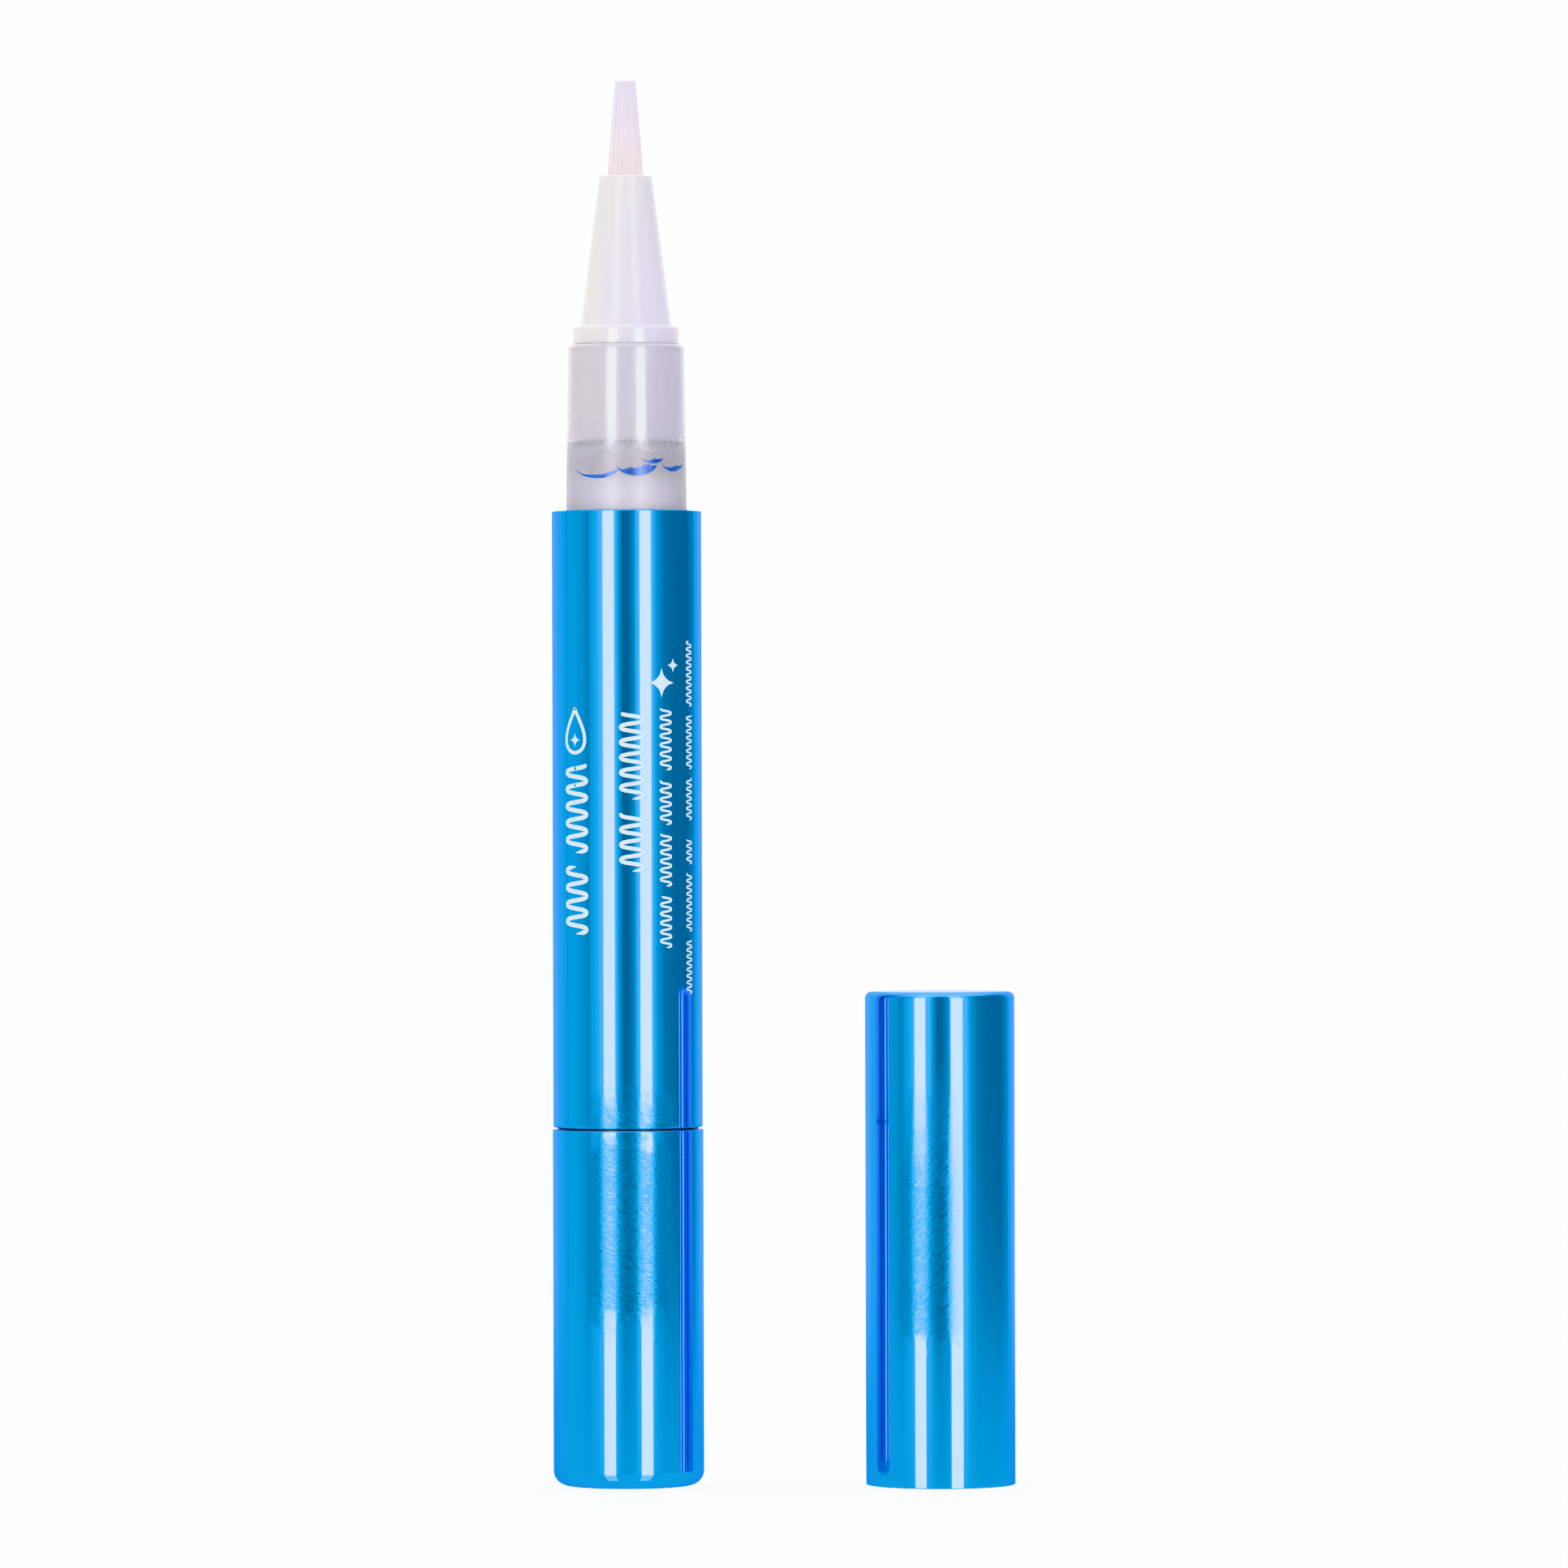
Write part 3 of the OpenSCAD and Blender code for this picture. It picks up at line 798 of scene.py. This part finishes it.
def inkLine(bm, path, halfWidth, closed=False):
    # A line of ink of even width with round ends, through a path of (across, z)
    count = len(path)
    points = [Vector(p) for p in path]
    run = [0.0]
    for first, second in zip(points, points[1:]):
        run.append(run[-1] + (second - first).length)
    stations = []
    for i, point in enumerate(points):
        before = points[i - 1] if closed or i > 0 else point
        after = points[(i + 1) % count] if closed or i < count - 1 else point
        along = (after - before).normalized()
        across = Vector((-along.y, along.x))
        near = min(run[i], run[-1] - run[i], halfWidth) / halfWidth
        width = halfWidth if closed else halfWidth * max(0.15, math.sqrt(1 - (1 - near) ** 2))
        left, right = point + across * width, point - across * width
        stations.append([bm.verts.new(onShell(*corner, lift)) for corner, lift in (
            (left, printDetail["proud"]), (right, printDetail["proud"]),
            (right, -printDetail["proud"]), (left, -printDetail["proud"]))])
    pairs = list(zip(stations, stations[1:]))
    if closed:
        pairs.append((stations[-1], stations[0]))
    else:
        bm.faces.new(stations[0])
        bm.faces.new(list(reversed(stations[-1])))
    for first, second in pairs:
        for k in range(4):
            m = (k + 1) % 4
            bm.faces.new((first[k], second[k], second[m], first[m]))


def inkWave(bm, centre, bottom, top, reach, pitch, halfWidth):
    # A rounded scribble that stands where a word would be
    steps = int((top - bottom) / pitch * 14)
    path = []
    for i in range(steps + 1):
        z = bottom + (top - bottom) * i / steps
        swing = math.sin(2 * math.pi * (z - bottom) / pitch)
        path.append((centre + reach * swing / math.sqrt(0.35 + 0.65 * swing * swing), z))
    inkLine(bm, path, halfWidth)


def inkStar(bm, centre, z, size):
    # A four-pointed sparkle
    rings = [[], []]
    for lift, ring in zip((printDetail["proud"], -printDetail["proud"]), rings):
        for share in (0.0, 0.5, 1.0):
            row = []
            for k in range(32):
                angle = 2 * math.pi * k / 32
                reach = size * share * (abs(math.cos(angle)) ** 0.62 + abs(math.sin(angle)) ** 0.62) ** -1.61
                row.append(bm.verts.new(onShell(
                    centre + reach * math.cos(angle), z + reach * math.sin(angle), lift)))
                if share == 0:
                    break
            ring.append(row)
    for ring in rings:
        for first, second in zip(ring, ring[1:]):
            for k in range(32):
                m = (k + 1) % 32
                corners = [first[k % len(first)], first[m % len(first)], second[m], second[k]]
                bm.faces.new(list(dict.fromkeys(corners)))
    for k in range(32):
        m = (k + 1) % 32
        bm.faces.new((rings[0][-1][k], rings[0][-1][m], rings[1][-1][m], rings[1][-1][k]))


def inkDrop(bm, centre, z, size, halfWidth):
    # The outline of a drop, its point upward, with a sparkle inside
    path = []
    for k in range(40):
        angle = 2 * math.pi * k / 40
        path.append((centre + size * 0.8 * math.sin(angle) * math.sin(angle / 2) ** 1.4,
                     z + size * math.cos(angle)))
    inkLine(bm, path, halfWidth, True)
    inkStar(bm, centre, z - 0.42 * size, 0.3 * size)


def makePrint(material):
    bm = bmesh.new()
    inkDrop(bm, -4.85, 65.3, 1.9, 0.16)
    for bottom, top in ((47.8, 53.6), (54.8, 62.4)):
        inkWave(bm, -4.75, bottom, top, 1.15, 1.45, 0.19)
    for bottom, top in ((53.2, 58.2), (59.4, 66.8)):
        inkWave(bm, 0.55, bottom, top, 1.0, 1.3, 0.17)
    inkStar(bm, 3.2, 69.4, 1.25)
    inkStar(bm, 4.35, 70.9, 0.6)
    for bottom, top in ((46.6, 51.0), (51.9, 56.4), (57.2, 61.0), (61.9, 67.2)):
        inkWave(bm, 3.6, bottom, top, 0.52, 0.78, 0.1)
    for bottom, top in ((42.6, 47.2), (48.0, 53.0), (53.8, 55.9), (57.6, 61.2), (62.0, 66.6), (67.4, 73.0)):
        inkWave(bm, 6.35, bottom, top, 0.36, 0.56, 0.075)
    piece = meshPiece("printedMarks", bm, material)
    return finishPiece(piece, "barrel", "white_nozzle")


# Studio

studio = {
    "strength": 1.0,
    "backdrop": 9.0,
    "floorGlow": 4.0,
    "stripDistance": 0.33,
    "stripAngle": 28.2,
    "stripWidth": 0.1,
    "strips": [(0.22, 0.06, 12.0), (0.9, 0.1, 1.8)],      # height, centre height, radiance
    "stripColour": (1.0, 1.07, 1.0, 1),
    "secondBounce": (0.2, 0.42, 0.22, 1),      # what shows of a strip in a reflection of a reflection
    "overhead": 2.7,
    "overheadStart": (0.6, 0.9),
    "ground": 1.0,            # the pale table, as the metal mirrors it
    "groundStart": (-0.052, -0.062),
}

# Brightness of the studio by compass angle round the pen, 0 towards the camera and positive to the right
surroundings = [
    (-180, 1.9), (-150, 1.8), (-125, 1.2), (-107, 0.98), (-105, 0.72), (-103, 0.96), (-90, 0.93),
    (-72, 0.78), (-62, 0.62), (-55, 0.95), (-47, 1.15), (-39, 1.9), (-18, 1.7), (-11, 0.8), (-5, 0.36),
    (2, 0.38), (10, 0.6), (18, 1.6), (39, 1.9), (45, 1.05), (50, 0.74), (62, 0.47), (80, 0.40),
    (106, 0.38), (120, 0.6), (135, 1.2), (150, 1.8), (180, 1.9)]


def makeWorld():
    world = bpy.data.worlds.new("studio")
    world.use_nodes = True
    bpy.context.scene.world = world
    tree = world.node_tree
    background = tree.nodes["Background"]
    place = addNode(tree, "TexCoord")
    split = addNode(tree, "SeparateXYZ", {"Vector": place.outputs["Generated"]})
    toward = combine(tree, "MULTIPLY", split.outputs["Y"], -1.0)
    angle = combine(tree, "ARCTAN2", split.outputs["X"], toward)
    share = spread(tree, angle, -math.pi, math.pi, 0, 1)
    ramp = addNode(tree, "ValToRGB", {"Fac": share})
    ramp.color_ramp.interpolation = "EASE"
    peak = max(level for _, level in surroundings)
    elements = ramp.color_ramp.elements
    while len(elements) > 1:
        elements.remove(elements[-1])
    for i, (degrees, level) in enumerate(surroundings):
        spot = (degrees + 180) / 360
        element = elements[0] if i == 0 else elements.new(spot)
        element.position = spot
        cool = min(1.0, 0.8 + 0.25 * level)      # the dark stretches of the room are a little bluer
        element.color = (level / peak * cool, level / peak * cool, level / peak, 1)
    downward = spread(tree, split.outputs["Z"], *studio["groundStart"], 0, 1)
    below = addNode(tree, "Mix", {"Factor": downward}, data_type="RGBA")
    tree.links.new(ramp.outputs["Color"], below.inputs[6])
    below.inputs[7].default_value = [studio["ground"] / peak] * 3 + [1]
    upward = spread(tree, split.outputs["Z"], *studio["overheadStart"], 0, 1)
    overhead = addNode(tree, "Mix", {"Factor": upward}, data_type="RGBA")
    tree.links.new(below.outputs[2], overhead.inputs[6])
    overhead.inputs[7].default_value = [studio["overhead"] / peak] * 3 + [1]
    rays = addNode(tree, "LightPath")
    seen = addNode(tree, "Mix", {"Factor": rays.outputs["Is Camera Ray"]}, data_type="RGBA")
    tree.links.new(overhead.outputs[2], seen.inputs[6])
    seen.inputs[7].default_value = [studio["backdrop"] / peak] * 3 + [1]
    tree.links.new(seen.outputs[2], background.inputs["Color"])
    background.inputs["Strength"].default_value = peak * studio["strength"]


def makeStrip(angle, height, centreZ, radiance):
    data = bpy.data.lights.new("stripBox", "AREA")
    data.shape = "RECTANGLE"
    data.size = studio["stripWidth"]
    data.size_y = height
    data.energy = radiance * math.pi * data.size * data.size_y
    data.use_nodes = True
    tree = data.node_tree
    depth = addNode(tree, "LightPath").outputs["Glossy Depth"]
    bounce = spread(tree, depth, 1, 2, 0, 1)
    colour = blendColours(tree, bounce, studio["stripColour"][:3], studio["secondBounce"][:3])
    tree.links.new(colour, tree.nodes["Emission"].inputs["Color"])
    light = bpy.data.objects.new("stripBox", data)
    away = studio["stripDistance"]
    light.location = (away * math.sin(angle), -away * math.cos(angle), centreZ)
    light.rotation_euler = (math.radians(90), 0, angle)
    light.visible_diffuse = False
    light.visible_transmission = False
    light.visible_camera = False
    bpy.context.scene.collection.objects.link(light)


def makeStrips():
    camera = bpy.context.scene.camera
    facing = math.atan2(camera.location.x, -camera.location.y)
    for side in (-1, 1):
        for height, centreZ, radiance in studio["strips"]:
            makeStrip(facing + side * math.radians(studio["stripAngle"]), height, centreZ, radiance)


def makeFloor():
    # A floor that only the camera sees
    material, tree, shader = newMaterial("paleFloor", Roughness=0.7)
    shader.inputs["Base Color"].default_value = (0.93, 0.93, 0.93, 1)
    shader.inputs["Emission Color"].default_value = (1, 1, 1, 1)
    shader.inputs["Emission Strength"].default_value = studio["floorGlow"]
    bm = bmesh.new()
    bmesh.ops.create_grid(bm, x_segments=2, y_segments=2, size=6)
    floor = meshPiece("floor", bm, material)
    floor.location.z = -0.00002
    floor.visible_glossy = False
    floor.visible_diffuse = False
    floor.visible_transmission = False


bpy.context.scene.view_settings.view_transform = "Khronos PBR Neutral"
makeWorld()
makeStrips()
makeFloor()
print("studio made")

capX = (low("cap_shell").x + high("cap_shell").x) / 2 / millimetre
makeBarrelShell(blueLacquer("blueFront"))
makeKnobShell(blueLacquer("blueKnob"))
makeCapShell(blueLacquer("blueCap", capX))
print("shells made")

nozzleMaterial = nozzleWhite()
makeNozzle(nozzleMaterial)
makeBarrel(clearPlastic())
makeLiquid(clearLiquid())
# the bubble films: painted shade of the air and of the bubbles' rims, and a painted reflection of the blue
# shell, which glows a little
makeBubbles(
    thinFilm("paintedAirShade", (0.76, 0.70, 0.80), (0.56, 0.51, 0.62), 0.42, 0.0),
    thinFilm("paintedRimShade", (0.74, 0.66, 0.60), (0.50, 0.42, 0.56), 0.22, 0.0),
    thinFilm("paintedBlueReflection", (0.02, 0.22, 0.72), (0.01, 0.05, 0.42), 0.93, 0.05))
makeBrush(bristleNylon())
makePrint(printInk())
print("nozzle, barrel, liquid, brush and print made")

plainFinishes = {
    "cap_sleeve": mouldedPlastic("capLiner", (0.82, 0.83, 0.86), (0.74, 0.75, 0.80), 0.4),
    "inner_cap": mouldedPlastic("sealCup", (0.86, 0.86, 0.84), (0.78, 0.78, 0.78), 0.5),
    "brush_ferrule": nozzleMaterial,
    "feed_tube": mouldedPlastic("feedTube", (0.7, 0.7, 0.72), (0.6, 0.6, 0.63), 0.3),
    "piston": mouldedPlastic("pistonPlastic", (0.78, 0.82, 0.88), (0.7, 0.75, 0.82), 0.45),
    "piston_ring": mouldedPlastic("sealRubber", (0.05, 0.05, 0.06), (0.03, 0.03, 0.035), 0.6),
    "screw_rod": mouldedPlastic("screwPlastic", (0.84, 0.84, 0.82), (0.76, 0.76, 0.75), 0.4),
    "screw_nut": mouldedPlastic("nutPlastic", (0.80, 0.81, 0.84), (0.72, 0.73, 0.77), 0.4),
    "ratchet_ring": mouldedPlastic("ratchetPlastic", (0.78, 0.79, 0.83), (0.7, 0.71, 0.76), 0.35),
    "click_spring": mouldedPlastic("springPlastic", (0.86, 0.85, 0.8), (0.79, 0.78, 0.73), 0.35),
    "drive_sleeve": mouldedPlastic("sleevePlastic", (0.83, 0.84, 0.86), (0.75, 0.76, 0.79), 0.4),
    "thrust_washer": mouldedPlastic("washerPlastic", (0.02, 0.04, 0.12), (0.01, 0.02, 0.07), 0.4),
    "knob_core": mouldedPlastic("corePlastic", (0.82, 0.83, 0.85), (0.74, 0.75, 0.78), 0.45),
}
for nodeName, finish in plainFinishes.items():
    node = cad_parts[nodeName]
    node.data.materials.clear()
    node.data.materials.append(finish)
print("inner pieces finished")
